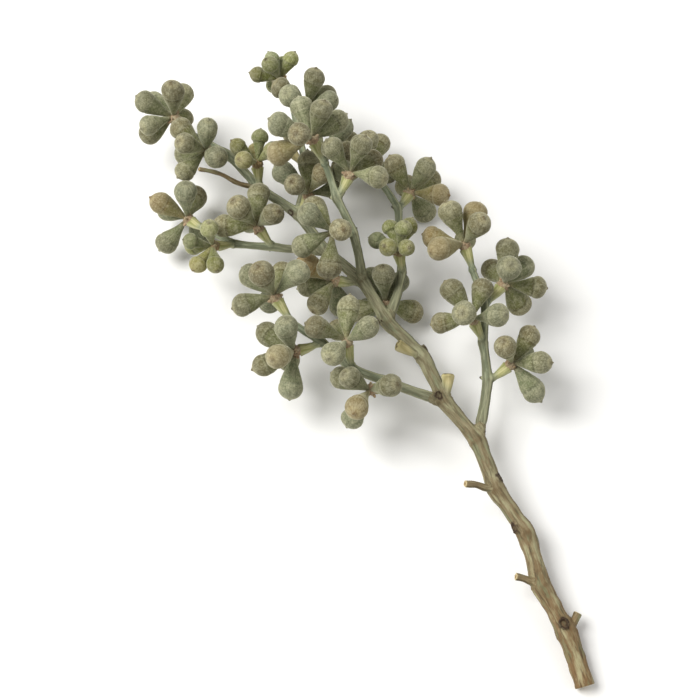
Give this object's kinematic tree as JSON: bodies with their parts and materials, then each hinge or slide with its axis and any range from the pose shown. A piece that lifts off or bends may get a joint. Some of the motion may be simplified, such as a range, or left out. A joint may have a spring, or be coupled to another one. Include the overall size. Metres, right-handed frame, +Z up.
{
  "type": "eucalyptus gum nut sprig",
  "caption": "Cut eucalyptus sprig that lies on its side: a crooked woody stem with forking grey-green shoots and flared stalks that carry umbels of club-shaped gum nuts",
  "frame": {"origin": "the middle of the sprig's bounding box, on the surface that it lies on", "axes": "+Y runs from the cut end of the stem to the tip, +X is to the right of someone who looks down on the sprig with its tip away from them, +Z is up"},
  "size_m": [0.1752, 0.4022, 0.1006],
  "materials": {
    "bark": "matte",
    "shoot": "matte",
    "gum_nut": "matte",
    "young_nut": "matte"
  },
  "bodies": {
    "root": {"woody_stem": "bark", "shoot_low_right": "shoot", "shoot_low_left": "shoot", "shoot_mid_right": "shoot", "shoot_front": "shoot", "shoot_high_left": "shoot", "shoot_high_right": "shoot", "nut_umbel_01": "gum_nut", "nut_umbel_02": "gum_nut", "nut_umbel_03": "gum_nut", "nut_umbel_04": "gum_nut", "nut_umbel_05": "gum_nut", "nut_umbel_06": "gum_nut", "nut_umbel_07": "gum_nut", "nut_umbel_08": "gum_nut", "nut_umbel_09": "gum_nut", "nut_umbel_10": "gum_nut", "nut_umbel_11": "gum_nut", "nut_umbel_12": "gum_nut", "nut_umbel_13": "gum_nut", "nut_umbel_14": "gum_nut", "nut_umbel_15": "gum_nut", "nut_umbel_16": "gum_nut", "nut_umbel_17": "gum_nut", "nut_umbel_18": "gum_nut", "nut_umbel_19": "gum_nut", "nut_umbel_20": "gum_nut", "nut_umbel_21": "gum_nut", "nut_umbel_22": "gum_nut", "young_umbel_01": "young_nut", "young_umbel_02": "young_nut", "young_umbel_03": "young_nut", "young_umbel_04": "young_nut"}
  },
  "joints": []
}
